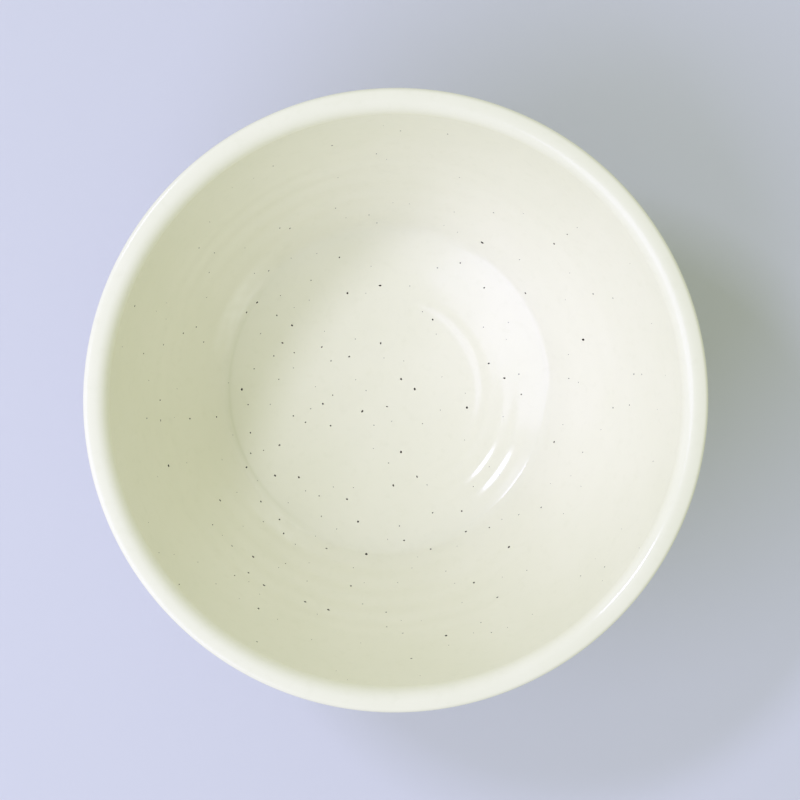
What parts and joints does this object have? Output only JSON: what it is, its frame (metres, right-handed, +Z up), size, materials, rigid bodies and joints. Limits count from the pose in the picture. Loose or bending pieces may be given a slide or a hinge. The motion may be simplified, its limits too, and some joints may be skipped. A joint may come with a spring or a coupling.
{
  "type": "soba bowl",
  "caption": "Deep round stoneware soba bowl with a flattened lip, throwing rings and a turned foot ring, cream glazed inside and out, for hot noodles and broth.",
  "frame": {"origin": "on the table, under the middle of the foot ring", "axes": "+Z up along the axis that the bowl was turned about"},
  "size_m": [0.165, 0.165, 0.082],
  "materials": {
    "stoneware": "bare, fired, fine sandy grain",
    "cream_glaze": "glossy cream glaze with fine iron specks"
  },
  "bodies": {
    "root": {"clay_body": "stoneware", "inside_glaze": "cream_glaze", "outside_glaze": "cream_glaze", "base_glaze": "cream_glaze"}
  },
  "joints": []
}
